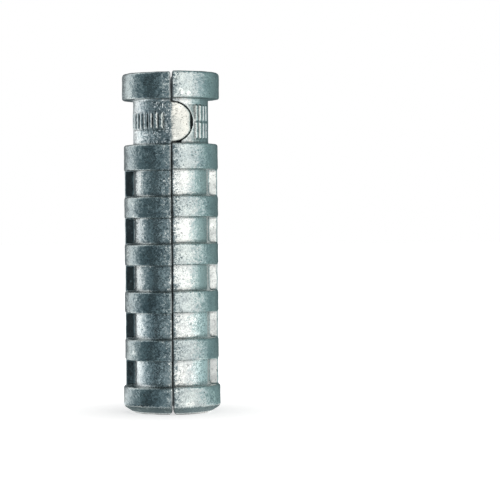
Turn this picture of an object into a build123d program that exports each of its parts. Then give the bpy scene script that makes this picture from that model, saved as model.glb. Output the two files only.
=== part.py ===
from build123d import *
from math import radians, tan
import os

# A lag shield anchor: two cast zinc half-shells that pivot at their necks.
# Each neck has an ear that crosses the split and nests in a notch of the other half.
# Millimetres, +Z up. The axis is Z, the split is the plane X = 0, and the lower end stands on Z = 0.

# Heights along the axis. The left casting's ribs and collar lie a little lower than the right one's.
end_rib_height = 3.69
rib_height = 2.74
groove_height = 3.43
rib_count = 4
shoulder_rib_height = 3.35
collar_height = 3.45
left_rib_drop = 0.14

# The plain bore, and the tapered bore below it that carries the thread
bore_radius = 4.1
bore_below_neck = 1.3
mouth_chamfer = 0.3
root_step = 0.15
root_step_height = 0.3
root_taper = 1.0

# Walls over the bores, and how far the ribs stand out from them
neck_wall = 0.82
groove_wall = 0.97
rib_depth = 1.23
end_rib_depth = 1.43
collar_depth = 1.43

# The lower end tapers so that it starts easily in its hole
end_taper_width = 1.4
end_taper_height = 0.9
end_taper_round = 0.55
end_face_round = 0.35

# Rounded edges and corners of the casting
rib_top_round = 0.32
rib_bottom_round = 0.2
collar_top_round = 0.42
collar_bottom_round = 0.22
floor_corner = 0.4
under_rib_corner = 0.15
neck_corner = 0.12
collar_corner = 0.25
split_edge_round = 0.1

# The cast thread: one right-hand start, in ridges that stop just short of the split
thread_pitch = 2.82
thread_depth = 0.6
thread_base = 1.5
thread_crest = 0.45
thread_sink = 0.25
thread_end_margin = 0.35
ridge_angle = 174

# The fin down the back of each half, just short of the ribs it joins
fin_set_in = 0.1
fin_width = 1.9
fin_edge_round = 0.15
fin_draft_angle = 24

# The split, with each half leaning away from it above the pivot
split_gap = 0.12
relief_angle = 0.35
lower_nick_width = 0.3
lower_nick_height = 0.55
upper_nick_width = 0.12
upper_nick_height = 0.3

# The ear on the neck, the notch that takes it, and the strip of neck left above the notch
ear_radius = 2.55
ear_offset = 0.15
ear_tip_cut = 0.22
ear_clearance = 0.12
ear_gap_below = 0.22
neck_strip_height = 0.41
notch_slot_width = 1.25

# Plain raised bars on the front of each neck, in rows at heights above or below the pivot.
# Angles run round from the middle of the half's back towards the front of the split.
bar_height = 1.95
bar_width = 0.42
bar_relief = 0.16
bar_angle_step = 8.7
right_bar_rows = (1.15, -1.1)
right_bar_angle = 22
right_bar_count = 4
left_bar_rows = (0.15,)
left_bar_angle = 13
left_bar_count = 8

# Radii that follow
neck_radius = bore_radius + neck_wall
root_radius_top = bore_radius - root_step
root_radius_bottom = root_radius_top - root_taper
floor_radius = root_radius_top + groove_wall
rib_radius = floor_radius + rib_depth
end_rib_radius = floor_radius + end_rib_depth
collar_radius = neck_radius + collar_depth
fin_radius = rib_radius - fin_set_in
notch_radius = ear_radius + ear_clearance
beyond = 2 * max(rib_radius, end_rib_radius, collar_radius)

# Heights that follow
rib_pitch = rib_height + groove_height
shoulder_bottom = end_rib_height + groove_height + rib_count * rib_pitch
shoulder_top = shoulder_bottom + shoulder_rib_height
pivot_height = shoulder_top + ear_gap_below + ear_radius
collar_bottom = pivot_height + notch_radius + neck_strip_height
shield_length = collar_bottom + collar_height
plain_bore_bottom = shoulder_top - bore_below_neck
tapered_bore_top = plain_bore_bottom - root_step_height

# What a ridge of the thread climbs, and its width where it is sunk in the wall
ridge_rise = thread_pitch * ridge_angle / 360
sunk_base = thread_base + (thread_base - thread_crest) * thread_sink / thread_depth


def wall_corners(drop):
    """Corners of the wall's section, as (radius, height, rounding), up the outside and down the bore."""
    corners = [
        (end_rib_radius - end_taper_width, 0, end_face_round),
        (end_rib_radius, end_taper_height, end_taper_round),
        (end_rib_radius, end_rib_height - drop, rib_top_round),
        (floor_radius, end_rib_height - drop, floor_corner),
    ]
    for index in range(rib_count):
        bottom = end_rib_height + groove_height + index * rib_pitch - drop
        corners += [
            (floor_radius, bottom, under_rib_corner),
            (rib_radius, bottom, rib_bottom_round),
            (rib_radius, bottom + rib_height, rib_top_round),
            (floor_radius, bottom + rib_height, floor_corner),
        ]
    corners += [
        (floor_radius, shoulder_bottom - drop, under_rib_corner),
        (rib_radius, shoulder_bottom - drop, rib_bottom_round),
        (rib_radius, shoulder_top - drop, rib_top_round),
        (neck_radius, shoulder_top - drop, neck_corner),
        (neck_radius, collar_bottom - drop, collar_corner),
        (collar_radius, collar_bottom - drop, collar_bottom_round),
        (collar_radius, shield_length - drop, collar_top_round),
        (bore_radius + mouth_chamfer, shield_length - drop, 0),
        (bore_radius, shield_length - drop - mouth_chamfer, 0),
        (bore_radius, plain_bore_bottom, 0),
        (root_radius_top, tapered_bore_top, 0),
        (root_radius_bottom, 0, 0),
    ]
    return corners


def fin_corners():
    """Outline of the fin from above, as (x, y, rounding). Its sides have draft."""
    root = (floor_radius + root_radius_top) / 2
    tip_width = fin_width - 2 * (fin_radius - floor_radius) * tan(radians(fin_draft_angle))
    return [
        (root, -fin_width / 2, 0),
        (floor_radius, -fin_width / 2, 0),
        (fin_radius, -tip_width / 2, fin_edge_round),
        (fin_radius, tip_width / 2, fin_edge_round),
        (floor_radius, fin_width / 2, 0),
        (root, fin_width / 2, 0),
    ]


def root_radius(height):
    """Radius of the tapered bore at a height."""
    return root_radius_bottom + root_taper * height / tapered_bore_top


def ridge_heights(start):
    """Mid-heights of one half's thread ridges, a pitch apart and clear of both ends of the tapered bore."""
    reach = thread_end_margin + (thread_base + ridge_rise) / 2
    count = int((tapered_bore_top - start - 2 * reach) / thread_pitch) + 1
    return [reach + start + index * thread_pitch for index in range(count)]


def split_at(height):
    """How far the split face stands from the plane X = 0 at a height."""
    return split_gap / 2 + max(0, height - pivot_height) * tan(radians(relief_angle))


def on_outer_split_edge(edge):
    """True for an edge of the split face along the outside of the ribs, the grooves or the collar."""
    points = [edge @ share for share in (0, 0.5, 1)]
    on_split = all(abs(point.X - split_at(point.Z)) < split_gap / 1000 for point in points)
    outside = all(abs(point.Y) > min(floor_radius, neck_radius) - split_gap for point in points)
    on_neck = any(shoulder_top < point.Z < collar_bottom - collar_corner - left_rib_drop for point in points)
    return on_split and outside and not on_neck


# Both halves are made on the +X side, and the left one is then turned half a turn about the axis.
# Its thread starts half a pitch higher, which keeps the helix unbroken across the split.
# Its front is made at +Y, so its bars run round the other way. Each row here is the node's name, its turn,
# its ribs' drop, its thread's start, its rows of bars, and their first angle, step and count.
halves = (
    (
        "right_half_shell", 0, 0, 0,
        right_bar_rows, -right_bar_angle, -bar_angle_step, right_bar_count,
    ),
    (
        "left_half_shell", 180, left_rib_drop, thread_pitch / 2,
        left_bar_rows, left_bar_angle, bar_angle_step, left_bar_count,
    ),
)
os.makedirs("parts", exist_ok=True)

for name, turn, drop, thread_start, bar_rows, bar_angle, bar_step, bar_count in halves:
    with BuildPart() as half:
        # The turned wall: ribs, grooves, neck and collar outside, and the bore inside
        with BuildSketch(Plane.XZ):
            with BuildLine():
                corners = wall_corners(drop)
                FilletPolyline(
                    [(radius, height) for radius, height, _ in corners],
                    radius=[rounding for _, _, rounding in corners],
                    close=True,
                )
            make_face()
        revolve(axis=Axis.Z)

        # The fin joins the ribs down the back, from inside the end rib to inside the shoulder rib
        fin_bottom = end_rib_height / 2
        fin_top = shoulder_bottom - drop + shoulder_rib_height / 2
        with BuildSketch(Plane.XY.offset(fin_bottom)):
            with BuildLine():
                corners = fin_corners()
                FilletPolyline(
                    [(x, y) for x, y, _ in corners],
                    radius=[rounding for _, _, rounding in corners],
                    close=True,
                )
            make_face()
        extrude(amount=fin_top - fin_bottom)

        # All beyond the split goes, first at the front, where the notch for the other half's ear is cut
        lean_top = pivot_height + beyond
        split_side = [
            (-beyond, -beyond),
            (split_at(0), -beyond),
            (split_at(0), pivot_height),
            (split_at(lean_top), lean_top),
            (-beyond, lean_top),
        ]
        neck_bottom = shoulder_top - drop
        with BuildSketch(Plane.XZ):
            with BuildLine():
                Polyline(split_side, close=True)
            make_face()
            with Locations((ear_offset, pivot_height)):
                Circle(notch_radius)
            with Locations((0, neck_bottom)):
                Rectangle(
                    notch_slot_width, pivot_height - neck_bottom, align=(Align.MIN, Align.MIN)
                )
        extrude(amount=beyond, mode=Mode.SUBTRACT)

        # At the back the same is cut away around this half's own ear, whose tip is flat
        with BuildSketch(Plane.XZ):
            with BuildLine():
                Polyline(split_side, close=True)
            make_face()
            with Locations((-ear_offset, pivot_height)):
                Circle(ear_radius, mode=Mode.SUBTRACT)
            with Locations((-ear_offset - ear_radius, pivot_height)):
                Rectangle(ear_tip_cut, 2 * ear_radius, align=(Align.MIN, Align.CENTER))
        extrude(amount=-beyond, mode=Mode.SUBTRACT)

        # The split's outer edges are rounded while the solid is still plain
        fillet(half.edges().filter_by(on_outer_split_edge), radius=split_edge_round)

        # The thread's ridges round the tapered bore
        ridges = []
        for height in ridge_heights(thread_start):
            with BuildLine() as helix:
                Helix(thread_pitch, ridge_rise, root_radius(height), center=(0, 0, height - ridge_rise / 2))
            path = helix.line.rotate(Axis.Z, -ridge_angle / 2)
            start = path @ 0
            with BuildSketch(Plane(origin=start, x_dir=(start.X, start.Y, 0), z_dir=path % 0)):
                with BuildLine():
                    Polyline(
                        (thread_sink, -sunk_base / 2),
                        (-thread_depth, -thread_crest / 2),
                        (-thread_depth, thread_crest / 2),
                        (thread_sink, sunk_base / 2),
                        close=True,
                    )
                make_face()
            ridges.append(sweep(path=path, is_frenet=True, mode=Mode.PRIVATE))
        add(ridges)

        # The raised bars round the neck
        for row in bar_rows:
            with Locations((0, 0, pivot_height + row)):
                with PolarLocations(
                    neck_radius, bar_count, bar_angle, bar_step * (bar_count - 1), endpoint=True
                ):
                    Box(2 * bar_relief, bar_width, bar_height)

        # Both ends of the split are nicked, so that it starts and ends in a V
        top = shield_length - drop
        with BuildSketch(Plane.XZ.offset(-beyond)):
            with BuildLine():
                Polyline(
                    (0, -lower_nick_height),
                    (split_at(0) + 2 * lower_nick_width, -lower_nick_height),
                    (split_at(0), lower_nick_height),
                    (0, lower_nick_height),
                    close=True,
                )
            make_face()
            with BuildLine():
                Polyline(
                    (0, top - upper_nick_height),
                    (split_at(top), top - upper_nick_height),
                    (split_at(top) + 2 * upper_nick_width, top + upper_nick_height),
                    (0, top + upper_nick_height),
                    close=True,
                )
            make_face()
        extrude(amount=2 * beyond, mode=Mode.SUBTRACT)

    shell = half.part.rotate(Axis.Z, turn)
    shell.label = name
    export_step(shell, f"parts/{name}.step")
    print(name, "volume", round(shell.volume, 2), "solids", len(shell.solids()))

print("length", round(shield_length, 3), "pivot height", round(pivot_height, 3))
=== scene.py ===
# %% [markdown]
# # A lag shield anchor in cast zinc
# A lag shield anchor is a split metal sleeve that is put in a hole in masonry, where its halves spread and
# grip. It is two half-shells, cast in zinc alloy, whose ears cross the split at the neck and let them
# pivot. Their shapes come ready from the CAD model, in metres, standing on Z = 0 with the split in the
# plane X = 0. This script gives them the skin and the finish of a casting, and builds the studio round
# them: a camera, a pale floor, a soft light and the cards that the metal mirrors.

# %% Load the model
import math
import bpy
from mathutils import Euler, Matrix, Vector, noise


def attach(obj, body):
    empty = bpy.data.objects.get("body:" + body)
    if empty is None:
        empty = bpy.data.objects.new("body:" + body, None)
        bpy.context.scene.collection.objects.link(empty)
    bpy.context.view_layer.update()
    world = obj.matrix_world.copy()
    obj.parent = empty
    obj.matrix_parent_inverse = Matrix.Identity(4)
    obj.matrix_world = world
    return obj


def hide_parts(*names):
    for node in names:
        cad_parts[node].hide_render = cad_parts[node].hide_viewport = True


MM = 0.001
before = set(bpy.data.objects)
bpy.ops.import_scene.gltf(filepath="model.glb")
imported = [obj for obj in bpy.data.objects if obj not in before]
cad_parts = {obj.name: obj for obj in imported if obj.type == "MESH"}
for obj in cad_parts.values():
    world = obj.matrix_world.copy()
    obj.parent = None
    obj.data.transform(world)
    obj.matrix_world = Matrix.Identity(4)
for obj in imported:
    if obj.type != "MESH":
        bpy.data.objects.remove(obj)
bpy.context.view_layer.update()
scene = bpy.context.scene

# %% [markdown]
# ## The camera
# The anchor is seen from straight in front and a little above its middle, from about 27 cm away. A camera
# could be placed by eye, but its place was worked out instead, so that the perspective is right too: the
# lens and the distance give the size in the picture, and the height gives how much the ribs' edges curve.
# It stands a little to the left of the split and looks past the anchor to the right, with a slight roll.

# %% Camera
CAMERA_DISTANCE = 274 * MM
CAMERA_SIDE = -4.1 * MM
CAMERA_HEIGHT = 25.9 * MM
CAMERA_YAW = math.radians(2.16)
CAMERA_PITCH = math.radians(-0.98)
CAMERA_ROLL = math.radians(-0.3)
CAMERA_LENS = 150

camera_data = bpy.data.cameras.new("studio_camera")
camera_data.lens = CAMERA_LENS
camera_data.sensor_width = 36
camera_data.clip_start = 10 * MM
camera_data.clip_end = 10
camera = bpy.data.objects.new("studio_camera", camera_data)
scene.collection.objects.link(camera)
scene.camera = camera
camera.location = (CAMERA_SIDE, -CAMERA_DISTANCE, CAMERA_HEIGHT)
towards_axis = math.atan2(CAMERA_SIDE, CAMERA_DISTANCE)
facing = Euler((math.pi / 2 + CAMERA_PITCH, 0, towards_axis - CAMERA_YAW)).to_matrix()
camera.rotation_euler = (facing @ Euler((0, 0, CAMERA_ROLL)).to_matrix()).to_euler()
scene.view_settings.view_transform = "Standard"
print("camera in mm:", [round(value / MM, 1) for value in camera.location])

# %% [markdown]
# ## The cast skin
# A CAD surface is perfectly even and its edges are crisp. A casting's edges are slightly round, its faces
# wave a little, and near the split it may bend out or in a little. Sculpting all this by hand would be
# slow, and could not be repeated. Modifiers do it in a few seconds: a voxel remesh cuts the surface into
# small even faces with soft edges, and noise then moves them in and out. Modifiers are only a recipe until
# they are baked, so the second helper turns what they make into the mesh.

# %% Helpers for modifiers


def add_modifier(piece, name, kind, **settings):
    """A modifier of that kind on the piece, with its settings."""
    modifier = piece.modifiers.new(name, kind)
    for key, value in settings.items():
        setattr(modifier, key, value)


def bake_modifiers(piece):
    """The piece's mesh becomes what its modifiers make of it, and the modifiers go."""
    view = bpy.context.evaluated_depsgraph_get()
    mesh = bpy.data.meshes.new_from_object(piece.evaluated_get(view))
    piece.modifiers.clear()
    piece.data = mesh


# %% [markdown]
# ### Waves and lumps
# Molten zinc shrinks as it sets, and the mould's own walls are worn, so a casting is never quite round. Two
# sizes of cloud noise stand for this: slow waves that make a reflection wander, and small lumps that
# roughen the edges. Both are a few hundredths of a millimetre high, which only shiny metal would show.

# %% Waves and lumps
WAVE_RISE = 0.07 * MM
LUMP_RISE = 0.03 * MM


def cloud_texture(name, size, depth):
    """Cloud noise for a Displace modifier, with lumps of about that size."""
    texture = bpy.data.textures.new(name, "CLOUDS")
    texture.noise_scale = size
    texture.noise_depth = depth
    return texture


slow_waves = cloud_texture("slow_waves", 1.7 * MM, 1)
small_lumps = cloud_texture("small_lumps", 0.45 * MM, 2)
print("noise in mm:", round(slow_waves.noise_scale / MM, 2), round(small_lumps.noise_scale / MM, 2))

# %% [markdown]
# ### Draft at the split
# Within 0.8 mm of the split, the outside of the left half rises by a few hundredths of a millimetre, and
# that of the right half sinks a little. It is too little to measure by eye, but it turns the metal's
# reflections, so the two halves differ in brightness right up to the split. How much they bend there is
# judged from that brightness alone. A vertex group holds how much of the rise each vertex takes, and limits
# it to the strip that has it.

# %% Draft at the split
DRAFT_WIDTH = 0.8 * MM
LEFT_RISE = 0.045 * MM
RIGHT_RISE = -0.02 * MM
INSIDE_RADIUS = 4.5 * MM


def draft_group(piece):
    """A vertex group for the outside near the split, strongest at the split itself."""
    group = piece.vertex_groups.new(name="draft")
    for vertex in piece.data.vertices:
        x, y, z = vertex.co
        share = (1 - abs(x) / DRAFT_WIDTH) * (1 - abs(vertex.normal.x))
        if share > 0 and math.hypot(x, y) > INSIDE_RADIUS:
            group.add([vertex.index], share, "REPLACE")


# %% [markdown]
# ### A skin for each half
# Each half's skin starts as a copy of its CAD mesh, so its size is right from the start. The voxels are a
# little narrower than a pixel of the picture. Smaller ones would show no more and cost far more faces, and
# a last modifier takes away over half of them, those on even ground first.

# %% Skin each half
VOXEL = 0.11 * MM
WELD_REACH = 0.0001 * MM
KEPT_SHARE = 0.45


def skin_half(node_name, name, body, rise):
    """A casting's skin in place of that CAD node, riding on its body."""
    skin = bpy.data.objects.new(name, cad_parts[node_name].data.copy())
    scene.collection.objects.link(skin)
    add_modifier(skin, "weld", "WELD", merge_threshold=WELD_REACH)
    add_modifier(skin, "remesh", "REMESH", mode="VOXEL", voxel_size=VOXEL, use_smooth_shade=True)
    bake_modifiers(skin)
    draft_group(skin)
    add_modifier(skin, "draft", "DISPLACE", strength=rise, mid_level=0, vertex_group="draft")
    add_modifier(skin, "waves", "DISPLACE", texture=slow_waves, strength=WAVE_RISE)
    add_modifier(skin, "lumps", "DISPLACE", texture=small_lumps, strength=LUMP_RISE)
    add_modifier(skin, "thin", "DECIMATE", ratio=KEPT_SHARE)
    bake_modifiers(skin)
    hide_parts(node_name)
    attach(skin, body)
    print(name, "faces", len(skin.data.polygons))
    return skin


skins = [
    (skin_half("left_half_shell", "left_half_casting", "left_half", LEFT_RISE), "left_half"),
    (skin_half("right_half_shell", "right_half_casting", "right_half", RIGHT_RISE), "right_half"),
]

# %% [markdown]
# ## Helpers for node materials
# Every finish below is a small graph of shader nodes. Made one call at a time, each node takes several
# lines, so this helper makes one, fills in its settings and its sockets, and joins what is passed as
# another's output. A socket is named by its label, with _ for a space, as in Base_Color. Some sockets share
# one label, and these are named by their place instead, as in _0 for the first.

# %% Helpers for nodes


def add_node(tree, kind, settings=None, **sockets):
    """A node of that kind, with its settings and a value or a link for each named socket."""
    node = tree.nodes.new(kind)
    for name, value in (settings or {}).items():
        setattr(node, name, value)
    for name, value in sockets.items():
        socket = node.inputs[int(name[1:]) if name[0] == "_" else name.replace("_", " ")]
        if isinstance(value, bpy.types.NodeSocket):
            tree.links.new(value, socket)
        else:
            socket.default_value = value
    return node


def new_tree(name):
    """A new material, and its node tree with nothing in it."""
    material = bpy.data.materials.new(name)
    material.use_nodes = True
    material.node_tree.nodes.clear()
    return material, material.node_tree


# %% [markdown]
# ### Sums in nodes
# Each of these is one node that works something out. Map Range turns one run of numbers into another and
# stops at its ends, so it serves as a soft switch. Mix has sockets for numbers and vectors as well, which
# is why its two colours are sockets 6 and 7 and the mixed colour is output 2.

# %% Sums in nodes


def scaled(tree, value, low, high, start=0.0, end=1.0):
    """The value, with its run from low to high turned into one from start to end."""
    return add_node(
        tree, "ShaderNodeMapRange", Value=value, From_Min=low, From_Max=high, To_Min=start, To_Max=end
    ).outputs[0]


def times(tree, first, second):
    """Two numbers multiplied."""
    return add_node(tree, "ShaderNodeMath", {"operation": "MULTIPLY"}, _0=first, _1=second).outputs[0]


def larger(tree, first, second):
    """The larger of two numbers."""
    return add_node(tree, "ShaderNodeMath", {"operation": "MAXIMUM"}, _0=first, _1=second).outputs[0]


def vector_sum(tree, first, second):
    """Two vectors added."""
    return add_node(tree, "ShaderNodeVectorMath", {"operation": "ADD"}, _0=first, _1=second).outputs[0]


def stretched(tree, vector, factor):
    """A vector or a colour times a number."""
    return add_node(tree, "ShaderNodeVectorMath", {"operation": "SCALE"}, _0=vector, Scale=factor).outputs[0]


def mixed(tree, share, first, second):
    """Two colours mixed, all first where the share is 0 and all second where it is 1."""
    return add_node(tree, "ShaderNodeMix", {"data_type": "RGBA"}, _0=share, _6=first, _7=second).outputs[2]


def noise_field(tree, place, scale, detail, roughness=0.5):
    """Smooth noise from about 0.3 to 0.7, with so many waves in a metre."""
    return add_node(
        tree, "ShaderNodeTexNoise", Vector=place, Scale=scale, Detail=detail, Roughness=roughness
    ).outputs["Fac"]


# %% [markdown]
# ## The crust of grains
# Die-cast zinc is a grey metal with a dull sheen. Close up it is a crust of grains about a tenth of a
# millimetre across, and each one tips the light its own way, so the metal sparkles in small dark and light
# specks. Smooth noise can't do this, because its slopes blend. Voronoi cells can: each gets a random
# colour, and that colour is used as a small random tilt of the surface. Three sizes of cells keep it from
# looking regular. The grain is strongest near the split and in patches, and it dies away towards the sides.

# %% Grain
GRAINS = [(3400, 0.16), (6000, 0.24), (11000, 0.24)]
GRAIN_FULL_TO = 0.8 * MM
GRAIN_HALF_FROM = 4.2 * MM
PATCH_SCALE = 260


def grain_share(tree, place):
    """How strong the grain is: most at the split and in patches, least at the sides."""
    across = add_node(tree, "ShaderNodeSeparateXYZ", Vector=place).outputs["X"]
    away = add_node(tree, "ShaderNodeMath", {"operation": "ABSOLUTE"}, _0=across).outputs[0]
    fading = scaled(tree, away, GRAIN_FULL_TO, GRAIN_HALF_FROM, 1.0, 0.5)
    patches = scaled(tree, noise_field(tree, place, PATCH_SCALE, 2), 0.35, 0.65, 0.6, 1.2)
    return times(tree, fading, patches)


def grain_tilt(tree, place, scale, strength, normal):
    """The normal with a random tilt added for each Voronoi cell."""
    cells = add_node(tree, "ShaderNodeTexVoronoi", Vector=place, Scale=scale)
    centred = vector_sum(tree, cells.outputs["Color"], (-0.5, -0.5, -0.5))
    return vector_sum(tree, stretched(tree, centred, strength), normal)


def grainy_normal(tree, place, normal, grain):
    """The surface's normal after every size of grain has tilted it."""
    strength = grain_share(tree, place)
    for scale, tilt in GRAINS:
        normal = grain_tilt(tree, place, scale, times(tree, strength, tilt * grain), normal)
    return add_node(tree, "ShaderNodeVectorMath", {"operation": "NORMALIZE"}, _0=normal).outputs[0]


# %% [markdown]
# ## Colour, wear and painted highlight
# Zinc tarnishes unevenly, so its colour runs from dull to clean in blotches. Where the surface is convex,
# as on the ribs' edges, it is rubbed bright, and the same pale colour is a painted highlight where these
# edges catch the light. A mask painted in a texture could say where, but the Pointiness of the mesh already
# knows: it is about 0.5 on even ground, more on edges and less in creases.

# %% Colour, wear and painted highlight
BLOTCH_SCALE = 320
# Pale colour of convex edges: partly rubbed wear, partly a painted highlight.
WORN_AND_HIGHLIGHT = (0.78, 0.8, 0.77, 1)


def zinc_colour(tree, place, geometry, dull, clean, wear_and_highlight):
    """Dull to clean blotches, and wear and a painted highlight on convex edges, by wear_and_highlight."""
    blotches = noise_field(tree, place, BLOTCH_SCALE, 6, 0.7)
    colour = mixed(tree, scaled(tree, blotches, 0.36, 0.62), dull, clean)
    # Convex edges: partly rubbed wear, partly a painted highlight.
    convex = scaled(tree, geometry["Pointiness"], 0.52, 0.55, 0.0, wear_and_highlight)
    rubbed_and_highlight = times(tree, convex, scaled(tree, blotches, 0.3, 0.6, 0.3, 1.0))
    return mixed(tree, rubbed_and_highlight, colour, WORN_AND_HIGHLIGHT)


# %% [markdown]
# ## Pits and painted shade
# Small gas pits look like dark specks. Creases and corners get painted shade, in the creases that look up,
# such as the foot of each groove, and not in those that look down, so it is held back where the normal
# points down. Ambient Occlusion finds wider corners by asking how much of the sky a point sees, and these
# are darkened too. Its own normal is lowered here, so that it looks down at the ledge below and sees nothing
# of the one above.

# %% Pits and painted shade
PIT_SCALE = 5200
CREASE_RUN = 0.045
CORNER_REACH = 0.6 * MM
LOWERING = (0, 0, -0.7)


def pits_and_painted_shade(tree, place, geometry, flat, corner_shade):
    """Colour kept: pits, and painted shade in creases below flat and in corners, down to corner_shade."""
    pits = scaled(tree, noise_field(tree, place, PIT_SCALE, 3, 0.6), 0.34, 0.41, 0.35, 1.0)
    # Painted shade in creases, held back where the normal points down.
    crease = scaled(tree, geometry["Pointiness"], flat - CREASE_RUN, flat, 0.12, 1.0)
    rise = add_node(tree, "ShaderNodeSeparateXYZ", Vector=geometry["Normal"]).outputs["Z"]
    crease_shade = larger(tree, crease, scaled(tree, rise, -0.35, -0.05, 1.0, 0.0))
    # Painted shade in corners, where Ambient Occlusion finds them.
    lowered = vector_sum(tree, geometry["Normal"], LOWERING)
    openness = add_node(
        tree, "ShaderNodeAmbientOcclusion", {"samples": 8}, Distance=CORNER_REACH, Normal=lowered
    ).outputs["AO"]
    corner = scaled(tree, openness, 0.45, 0.85, corner_shade, 1.0)
    return times(tree, pits, times(tree, crease_shade, corner))


# %% [markdown]
# ## One zinc, twelve finishes
# The two castings are made of one metal, but it doesn't look the same all over. The ribs look dull, the
# grooves brighter, the fins' sides smooth, one side of the neck bright and the inside dark. Several finishes
# are painted light: a painted sheen on the bright side of the neck, its bars and the low grooves' sides, a
# painted highlight at the right fins' roots, and painted shade inside, at the left fins' roots and on much
# of the neck. Twelve separate materials could be built by hand. One function with a few numbers keeps them
# of one kind, and a change to it reaches them all. Each finish has a name, a dull and a clean colour, and
# then its roughness, its grain, and its wear and edge highlight. Where metal is below 1, the surface is less
# like bare metal: on the split's edges, as dirt or a pale oxide would make it, and in the painted shade
# inside and the painted highlight at the right fins' roots. The numbers were chosen by comparing
# brightness, and from the front alone.

# %% Zinc finishes


def zinc_finish(name, dull, clean, roughness, grain, wear_and_highlight, flat=0.495, corner_shade=1.0, metal=1.0):
    """A cast zinc material with that name, its colours, its grain, its pits and its painted shade."""
    material, tree = new_tree(name)
    place = add_node(tree, "ShaderNodeTexCoord").outputs["Object"]
    geometry = add_node(tree, "ShaderNodeNewGeometry").outputs
    colour = zinc_colour(tree, place, geometry, dull, clean, wear_and_highlight)
    # The colour, darkened at pits and by the painted shade in creases and corners.
    shaded = stretched(tree, colour, pits_and_painted_shade(tree, place, geometry, flat, corner_shade))
    normal = grainy_normal(tree, place, geometry["Normal"], grain)
    surface = add_node(
        tree, "ShaderNodeBsdfPrincipled",
        Base_Color=shaded, Metallic=metal, Roughness=roughness, Normal=normal,
    )
    add_node(tree, "ShaderNodeOutputMaterial", Surface=surface.outputs[0])
    return material


finishes = [
    zinc_finish("groove_zinc", (0.49, 0.52, 0.52, 1), (0.64, 0.65, 0.63, 1), 0.24, 1.1, 0.4, corner_shade=0.35),
    zinc_finish("rib_zinc", (0.32, 0.365, 0.375, 1), (0.465, 0.505, 0.495, 1), 0.27, 1.35, 0.7),
    zinc_finish("fin_side_zinc", (0.33, 0.35, 0.345, 1), (0.5, 0.515, 0.505, 1), 0.13, 0.35, 0.3),
    zinc_finish("inner_painted_shade", (0.2, 0.22, 0.225, 1), (0.32, 0.34, 0.345, 1), 0.55, 1.0, 0.0, metal=0.5),
    zinc_finish("mark_zinc", (0.35, 0.38, 0.37, 1), (0.51, 0.54, 0.53, 1), 0.28, 1.4, 0.5, flat=0.515),
    zinc_finish("ear_zinc", (0.4, 0.41, 0.39, 1), (0.58, 0.57, 0.53, 1), 0.3, 0.5, 0.3),
    zinc_finish(
        "fin_root_painted_highlight", (0.7, 0.72, 0.71, 1), (0.85, 0.86, 0.85, 1), 0.45, 0.8, 0.0, flat=0.45, metal=0.4
    ),
    zinc_finish("split_edge_zinc", (0.2, 0.22, 0.23, 1), (0.36, 0.39, 0.39, 1), 0.45, 1.6, 0.1, metal=0.8),
    zinc_finish("mark_painted_sheen", (0.6, 0.63, 0.63, 1), (0.92, 0.93, 0.91, 1), 0.36, 2.0, 0.3, flat=0.515),
    zinc_finish("neck_side_painted_sheen", (0.62, 0.65, 0.66, 1), (0.98, 0.99, 0.97, 1), 0.36, 2.4, 0.3),
    zinc_finish("neck_painted_shade", (0.32, 0.35, 0.36, 1), (0.44, 0.47, 0.47, 1), 0.28, 1.1, 0.3),
    zinc_finish("low_groove_painted_sheen", (0.8, 0.83, 0.83, 1), (0.95, 0.96, 0.94, 1), 0.34, 1.2, 0.4, corner_shade=0.35),
]
print("finishes:", [finish.name for finish in finishes])

# %% [markdown]
# ## Where each finish goes
# The finishes could be blended by masks in one big material. Giving each face its own is simpler to follow:
# how far a face lies from the axis tells rib from groove, and which way it looks tells the rest. This first
# cell finds the neck's two fields of raised bars, and the parts that look brighter than ribs turned the same
# way: one side of the neck and the sides of the lowest grooves. Why they do isn't known, so a brighter
# colour, a painted sheen, stands for it, and noise scatters its border so that it doesn't end in a line.

# %% The neck and the low grooves
NECK_FROM = 33 * MM
LOW_BELOW = 15 * MM
MARKS_HEIGHT = 37.9 * MM
LEFT_MARKS = (-78, -9, 1.1 * MM)
RIGHT_MARKS = (18, 52, 2.3 * MM)
SCATTER = 3 * MM
SCATTER_SCALE = 7000
BRIGHT_NECK_TO = -1.8 * MM
BRIGHT_GROOVE_TO = -2.4 * MM
BRIGHT_GROOVE_FROM = 3.3 * MM


def in_marks(x, y, z):
    """Whether a point of the neck lies in one of its two fields of raised bars."""
    azimuth = math.degrees(math.atan2(x, -y))
    for first, last, reach in (LEFT_MARKS, RIGHT_MARKS):
        if first < azimuth < last and abs(z - MARKS_HEIGHT) < reach:
            return True
    return False


def scattered(place):
    """A random shift of a border, the same each time for the same place."""
    return SCATTER * noise.noise(place * SCATTER_SCALE)


def on_bright_neck(place):
    """Whether a point lies on the brighter side of the neck, at the front left."""
    return place.z > NECK_FROM and place.y < 0 and place.x < scattered(place) + BRIGHT_NECK_TO


def on_bright_groove(place):
    """Whether a point lies at the brighter side of a low groove."""
    if place.z > LOW_BELOW:
        return False
    shift = scattered(place)
    return place.x < shift + BRIGHT_GROOVE_TO or place.x > shift + BRIGHT_GROOVE_FROM


# %% [markdown]
# ### A finish for every face
# A face's normal points the way it looks, and its x or y says how far it is turned to the side or the
# front: a TURN below is the least such share. The first rule that fits a face gives its finish. The inside
# comes first, in painted shade, and then the left half's ear, which is all that this half has right of the
# split. Then come the edges at the split, the raised bars, the fins' sides and the strips at their roots,
# with a painted highlight at the right fins and painted shade at the left. What is left is rib, neck or
# groove.

# %% Faces and finishes
RIB_FROM = 5.3 * MM
FIN_FROM = 4.7 * MM
FIN_TO = 6.0 * MM
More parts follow.
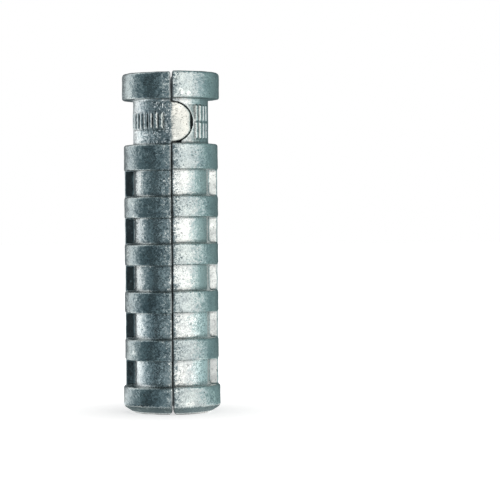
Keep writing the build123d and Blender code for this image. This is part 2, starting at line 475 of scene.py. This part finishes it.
# Strips at the fins' roots: painted shade on the left, a painted highlight on the right.
LEFT_ROOT_SHADE = (4.65 * MM, 5.05 * MM)
RIGHT_ROOT_HIGHLIGHT = (4.6 * MM, 5.2 * MM)
SPLIT_EDGE = 0.35 * MM
EAR_BOTTOM = 35.2 * MM
EAR_TOP = 40.5 * MM
DIM_NECK_FROM = 3.75 * MM
ROUNDED_TURN = 0.03
SPLIT_TURN = 0.6
FIN_TURN = 0.65


def in_root(side, radius, root):
    """Whether a point so far to the side and from the axis lies in the strip at a fin's root."""
    return side > root[0] and radius < root[1]


def finish_of(face, body):
    """The name of a face's finish, from its body, its place and the way it looks."""
    x, y, z = face.center
    radius = math.hypot(x, y)
    beside_ear = EAR_BOTTOM < z < EAR_TOP
    towards_split = face.normal.x if body == "left_half" else -face.normal.x
    # The inside is painted shade.
    if radius < INSIDE_RADIUS:
        return "inner_painted_shade"
    if body == "left_half" and x > 0 and beside_ear:
        return "ear_zinc"
    # Faces that look into the split get the inside's painted shade.
    if abs(x) < SPLIT_EDGE and not beside_ear and towards_split > ROUNDED_TURN:
        return "inner_painted_shade" if towards_split > SPLIT_TURN else "split_edge_zinc"
    # Bars on the bright side of the neck get a painted sheen.
    if in_marks(x, y, z):
        return "mark_painted_sheen" if on_bright_neck(face.center) else "mark_zinc"
    if abs(x) > FIN_FROM and abs(face.normal.y) > FIN_TURN and radius < FIN_TO:
        return "fin_side_zinc"
    # A painted highlight on the strip at the right fins' roots.
    if z < NECK_FROM and in_root(x, radius, RIGHT_ROOT_HIGHLIGHT):
        return "fin_root_painted_highlight"
    # Painted shade on the strip at the left fins' roots.
    if z < NECK_FROM and in_root(-x, radius, LEFT_ROOT_SHADE):
        return "inner_painted_shade"
    if radius > RIB_FROM:
        return "rib_zinc"
    # A painted sheen on the bright side of the neck.
    if on_bright_neck(face.center):
        return "neck_side_painted_sheen"
    # Painted shade on the neck left of the split and far right of it.
    if z > NECK_FROM and (x < 0 or x > DIM_NECK_FROM):
        return "neck_painted_shade"
    # A painted sheen on the sides of the low grooves.
    return "low_groove_painted_sheen" if on_bright_groove(face.center) else "groove_zinc"


names = [finish.name for finish in finishes]
for skin, body in skins:
    skin.data.materials.clear()
    for finish in finishes:
        skin.data.materials.append(finish)
    counts = [0] * len(names)
    for face in skin.data.polygons:
        face.material_index = names.index(finish_of(face, body))
        counts[face.material_index] += 1
    print(skin.name, dict(zip(names, counts)))

# %% [markdown]
# ## The floor
# The floor is a plain pale sheet, far wider than the camera sees. The glow that the camera sees is dimmed
# close to the anchor, a painted shade round its foot on top of its soft real shadow, and fades to white
# further out, so that no horizon shows. More light would whiten it too, but it would also burn out the
# metal. Light Path tells the kinds of rays apart instead: only those of the camera and of reflections see
# the floor's own glow, and the light that falls on the anchor stays the same.

# %% Floor
FLOOR_REACH = 1.5
SHADOW_FROM = 7 * MM
SHADOW_TO = 30 * MM


def ray_share(tree, name):
    """1 for rays of that kind and 0 for all others."""
    return add_node(tree, "ShaderNodeLightPath").outputs[name]


floor_mesh = bpy.data.meshes.new("floor")
floor_mesh.from_pydata(
    [(-FLOOR_REACH, -FLOOR_REACH, 0), (FLOOR_REACH, -FLOOR_REACH, 0),
     (FLOOR_REACH, FLOOR_REACH, 0), (-FLOOR_REACH, FLOOR_REACH, 0)],
    [], [(0, 1, 2, 3)],
)
floor = bpy.data.objects.new("floor", floor_mesh)
scene.collection.objects.link(floor)

pale, tree = new_tree("pale_floor")
place = add_node(tree, "ShaderNodeTexCoord").outputs["Object"]
away = add_node(tree, "ShaderNodeVectorMath", {"operation": "LENGTH"}, _0=place).outputs["Value"]
# Painted shade: the camera's glow is dimmed close to the anchor.
fade = scaled(tree, away, SHADOW_FROM, SHADOW_TO, 0.6, 1.0)
glow = larger(tree, times(tree, ray_share(tree, "Is Camera Ray"), fade), ray_share(tree, "Is Glossy Ray"))
matt = add_node(tree, "ShaderNodeBsdfDiffuse", Color=(0.8, 0.8, 0.8, 1))
white = add_node(tree, "ShaderNodeEmission", Color=(1, 1, 1, 1), Strength=glow)
both = add_node(tree, "ShaderNodeAddShader", _0=matt.outputs[0], _1=white.outputs[0])
add_node(tree, "ShaderNodeOutputMaterial", Surface=both.outputs[0])
floor_mesh.materials.append(pale)
print("floor", 2 * FLOOR_REACH, "m wide, shadow fades out by", round(SHADOW_TO / MM), "mm")

# %% [markdown]
# ## The air behind
# The world is the white that the camera sees behind the anchor. As with the floor, it is white only for the
# camera and for reflections, and a dimmer grey as a light, so that it doesn't fill in the shadows.

# %% World
WORLD_LIGHT = 0.35

world = bpy.data.worlds.new("white_air")
world.use_nodes = True
scene.world = world
tree = world.node_tree
tree.nodes.clear()
seen = larger(tree, ray_share(tree, "Is Camera Ray"), ray_share(tree, "Is Glossy Ray"))
level = scaled(tree, seen, 0, 1, WORLD_LIGHT, 1.0)
air = add_node(tree, "ShaderNodeBackground", Color=(1, 1, 1, 1), Strength=level)
add_node(tree, "ShaderNodeOutputWorld", Surface=air.outputs[0])
print("world light", WORLD_LIGHT)

# %% [markdown]
# ## Cards for the metal to mirror
# Metal shows what stands round it, so its bands of light and dark are the studio's own. Photographers bend
# painted boards round such an object. Here each card is a strip of faces on an arc, with its brightness
# written in a colour attribute along the arc, and only reflections see it. An image could hold the paint as
# well, but a list of angles and levels is easier to change, one band at a time.

# %% Paint and arcs
CARD_STEP = 3


def point_round(azimuth, distance, height):
    """A point at that angle round from the camera's side, positive to the right."""
    angle = math.radians(azimuth)
    return Vector((math.sin(angle) * distance, -math.cos(angle) * distance, height))


def paint_at(stops, azimuth):
    """Brightness and share of the hue at an angle, between the stops (azimuth, brightness, share)."""
    for (first, bright, share), (last, next_bright, next_share) in zip(stops, stops[1:]):
        if azimuth <= last:
            part = (azimuth - first) / (last - first)
            return bright + (next_bright - bright) * part, share + (next_share - share) * part
    return stops[-1][1:]


def card_mesh(name, profile, hue, stops):
    """A strip bent round the anchor, with (distance, height) up its profile, painted by its stops."""
    start = stops[0][0]
    span = stops[-1][0] - start
    steps = round(span / CARD_STEP)
    corners = []
    paint = []
    for index in range(steps + 1):
        azimuth = start + span * index / steps
        level, share = paint_at(stops, azimuth)
        for distance, height in profile:
            corners.append(point_round(azimuth, distance, height))
            paint.append([level * (1 + (part - 1) * share) for part in hue] + [1])
    count = len(profile)
    faces = [
        (corner, corner + 1, corner + 1 + count, corner + count)
        for row in range(0, steps * count, count)
        for corner in range(row, row + count - 1)
    ]
    mesh = bpy.data.meshes.new(name)
    mesh.from_pydata(corners, [], faces)
    layer = mesh.color_attributes.new("paint", "FLOAT_COLOR", "POINT")
    for item, shade in zip(layer.data, paint):
        item.color = shade
    return mesh


# %% [markdown]
# ### A card in the studio
# The paint glows by itself, so a card shows as it is painted whatever the lamp does.

# %% Card helper


def add_card(name, profile, hue, stops):
    """A glowing card that only the metal mirrors."""
    mesh = card_mesh(name, profile, hue, stops)
    card = bpy.data.objects.new(name, mesh)
    scene.collection.objects.link(card)
    card.visible_camera = False
    card.visible_diffuse = False
    card.visible_shadow = False
    finish, nodes = new_tree(name)
    shade = add_node(nodes, "ShaderNodeAttribute", {"attribute_name": "paint"})
    shine = add_node(nodes, "ShaderNodeEmission", Color=shade.outputs["Color"], Strength=1)
    add_node(nodes, "ShaderNodeOutputMaterial", Surface=shine.outputs[0])
    mesh.materials.append(finish)
    print(name, "faces", len(mesh.polygons))


# %% [markdown]
# ### Three cards
# The left card is dark but for one bright stripe far round, which gives the left edges their sheen. Its
# darkest stretch, near -48 degrees, is what the left fins' flat sides mirror. The right card is teal and
# dims towards the back, for the cool right edges. Both run along the floor and then up, as a bent board
# would. A small low card close to the anchor dims what its lowest edge mirrors.

# %% Place the cards
CARD_DISTANCE = 300 * MM
TALL = [(7.5 * MM, 0.6 * MM), (CARD_DISTANCE, 0.6 * MM), (CARD_DISTANCE, 450 * MM), (50 * MM, 600 * MM)]
LOW = [(5 * MM, 0.3 * MM), (7.5 * MM, 0.3 * MM)]

add_card("left_card", TALL, (0.55, 0.86, 1), [
    (-180, 0.15, 0.5), (-150, 0.25, 0.3), (-129, 1.05, 0.1), (-116, 1.75, 0.1), (-106, 0.87, 0.3),
    (-90, 0.42, 0.7), (-76, 0.22, 1), (-60, 0.2, 1), (-54, 0.06, 0.8), (-43, 0.06, 0.8),
    (-37, 0.26, 0.9), (-20, 0.4, 0.8), (-8, 0.5, 0.6), (3, 0.62, 0.4), (9, 0.72, 0.2),
])
add_card("right_card", TALL, (0.66, 0.98, 1), [
    (60, 1.45, 0.2), (74, 1.2, 0.5), (88, 0.7, 0.9), (100, 0.55, 1), (112, 0.49, 1), (130, 0.45, 0.9),
    (150, 0.25, 1), (180, 0.2, 1),
])
add_card("floor_card", LOW, (0.8, 0.97, 1), [
    (-180, 0.3, 1), (0, 0.3, 1), (30, 0.5, 1), (100, 0.3, 1), (180, 0.3, 1),
])

# %% [markdown]
# ## The soft light
# A tall soft light to the right of the camera fills the gap between the two cards. The metal mirrors it as
# the bright bands right of the split, and its size keeps the shadow soft. A small lamp would give a hard
# shadow and a thin glaring line. It is aimed at the middle of the anchor.

# %% Soft light
LIGHT_AZIMUTH = 32
LIGHT_DISTANCE = 500 * MM
LIGHT_HEIGHT = 100 * MM
ANCHOR_MIDDLE = Vector((0, 0, 22 * MM))

light_data = bpy.data.lights.new("soft_light", "AREA")
light_data.shape = "RECTANGLE"
light_data.size = 450 * MM
light_data.size_y = 600 * MM
light_data.energy = 0.9
light_data.color = (1, 1, 0.95)
light = bpy.data.objects.new("soft_light", light_data)
scene.collection.objects.link(light)
light.location = point_round(LIGHT_AZIMUTH, LIGHT_DISTANCE, LIGHT_HEIGHT)
light.rotation_euler = (ANCHOR_MIDDLE - light.location).to_track_quat("-Z", "Y").to_euler()
print("soft light in mm:", [round(value / MM) for value in light.location])
